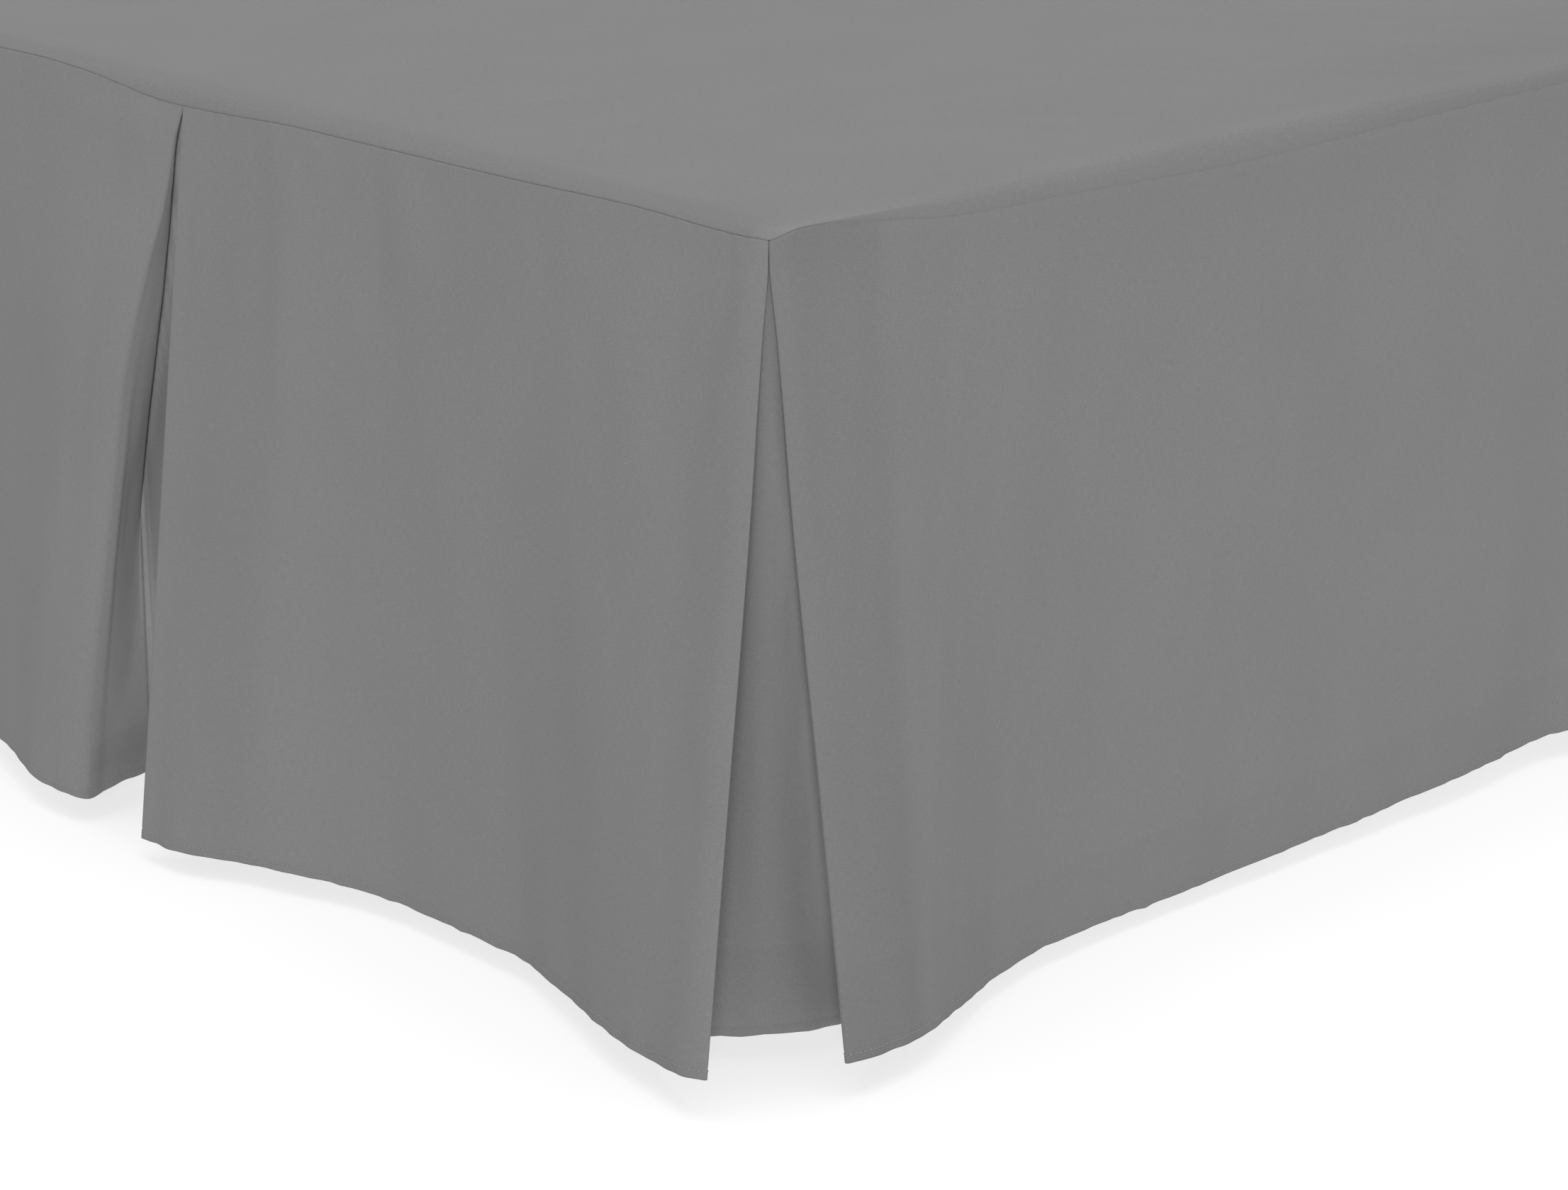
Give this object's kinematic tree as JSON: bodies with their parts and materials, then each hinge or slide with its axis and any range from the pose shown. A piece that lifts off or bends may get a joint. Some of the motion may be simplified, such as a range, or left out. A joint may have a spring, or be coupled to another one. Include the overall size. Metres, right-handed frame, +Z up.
{
  "type": "bed skirt on a bed base",
  "caption": "Plain bed skirt with box pleats at the foot corners and mid-panel, a flat platform cloth and a straight hem, fitted on a plain single bed base with its head end open.",
  "frame": {"origin": "on the floor, under the middle of the whole part's box", "axes": "+Z up, -Y towards the foot end, +Y towards the open head end, +X to the bed's right side as seen from its foot"},
  "size_m": [1.024, 1.9712, 0.423],
  "materials": {
    "skirt_cloth": "matt plain weave, mid grey",
    "base_cover": "matt pale ticking",
    "glide_plastic": "satin black"
  },
  "bodies": {
    "root": {"platform_cloth": "skirt_cloth", "skirt_foot": "skirt_cloth", "skirt_left": "skirt_cloth", "skirt_right": "skirt_cloth", "bed_base": "base_cover", "glide_left_foot": "glide_plastic", "glide_left_middle": "glide_plastic", "glide_left_head": "glide_plastic", "glide_right_foot": "glide_plastic", "glide_right_middle": "glide_plastic", "glide_right_head": "glide_plastic"}
  },
  "joints": []
}
